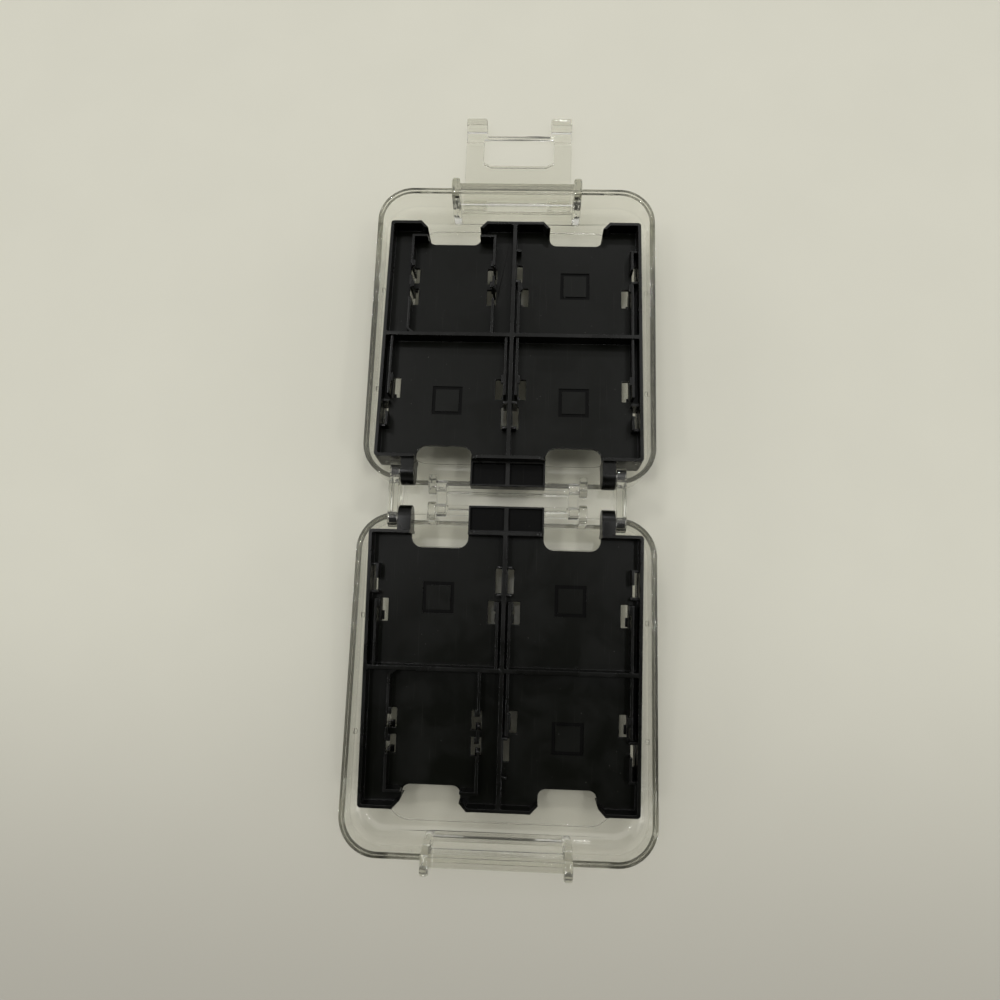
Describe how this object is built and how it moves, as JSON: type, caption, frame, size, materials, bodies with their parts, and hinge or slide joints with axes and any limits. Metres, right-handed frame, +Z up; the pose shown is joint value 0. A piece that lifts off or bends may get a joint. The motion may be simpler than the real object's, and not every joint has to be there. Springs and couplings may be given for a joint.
{
  "type": "game card case",
  "caption": "Clear hinged case lying open, with black page-like card trays that have pockets on both faces, and a folding snap latch.",
  "frame": {"origin": "centre of the lower shell's rest panel, on the table", "axes": "+X along the hinges, to the right in the picture; +Y from the lower shell to the upper shell and the latch; +Z up from the table, the side that the open trays face"},
  "size_m": [0.087, 0.2373, 0.0209],
  "materials": {
    "clear_plastic": "clear, polished injection-moulded plastic",
    "black_plastic": "black plastic with a satin surface"
  },
  "bodies": {
    "lower_shell": {"lower_shell": "clear_plastic"},
    "spine": {"spine": "clear_plastic"},
    "upper_shell": {"upper_shell": "clear_plastic"},
    "lower_tray": {"lower_tray": "black_plastic"},
    "upper_tray": {"upper_tray": "black_plastic"},
    "latch": {"latch": "clear_plastic"}
  },
  "joints": [
    {"name": "spine_turn", "type": "hinge", "parent": "lower_shell", "child": "spine", "pos_m": [0, 0.04915, 0.0124], "axis": [1, 0, 0], "range_deg": [0, 90]},
    {"name": "lid_turn", "type": "hinge", "parent": "spine", "child": "upper_shell", "pos_m": [0, 0.05575, 0.0124], "axis": [1, 0, 0], "range_deg": [0, 90]},
    {"name": "lower_tray_turn", "type": "hinge", "parent": "spine", "child": "lower_tray", "pos_m": [0, 0.04565, 0.0161], "axis": [1, 0, 0], "range_deg": [-95.7, 0]},
    {"name": "upper_tray_turn", "type": "hinge", "parent": "spine", "child": "upper_tray", "pos_m": [0, 0.05925, 0.0161], "axis": [1, 0, 0], "range_deg": [0, 93.1]},
    {"name": "latch_turn", "type": "hinge", "parent": "upper_shell", "child": "latch", "pos_m": [0, 0.15475, 0.0031], "axis": [1, 0, 0], "range_deg": [0, 90]}
  ],
  "couplings": [
    {"joint": "lower_tray_turn", "follows": "spine_turn", "ratio": -1.0622},
    {"joint": "upper_tray_turn", "follows": "lid_turn", "ratio": 1.0333}
  ]
}
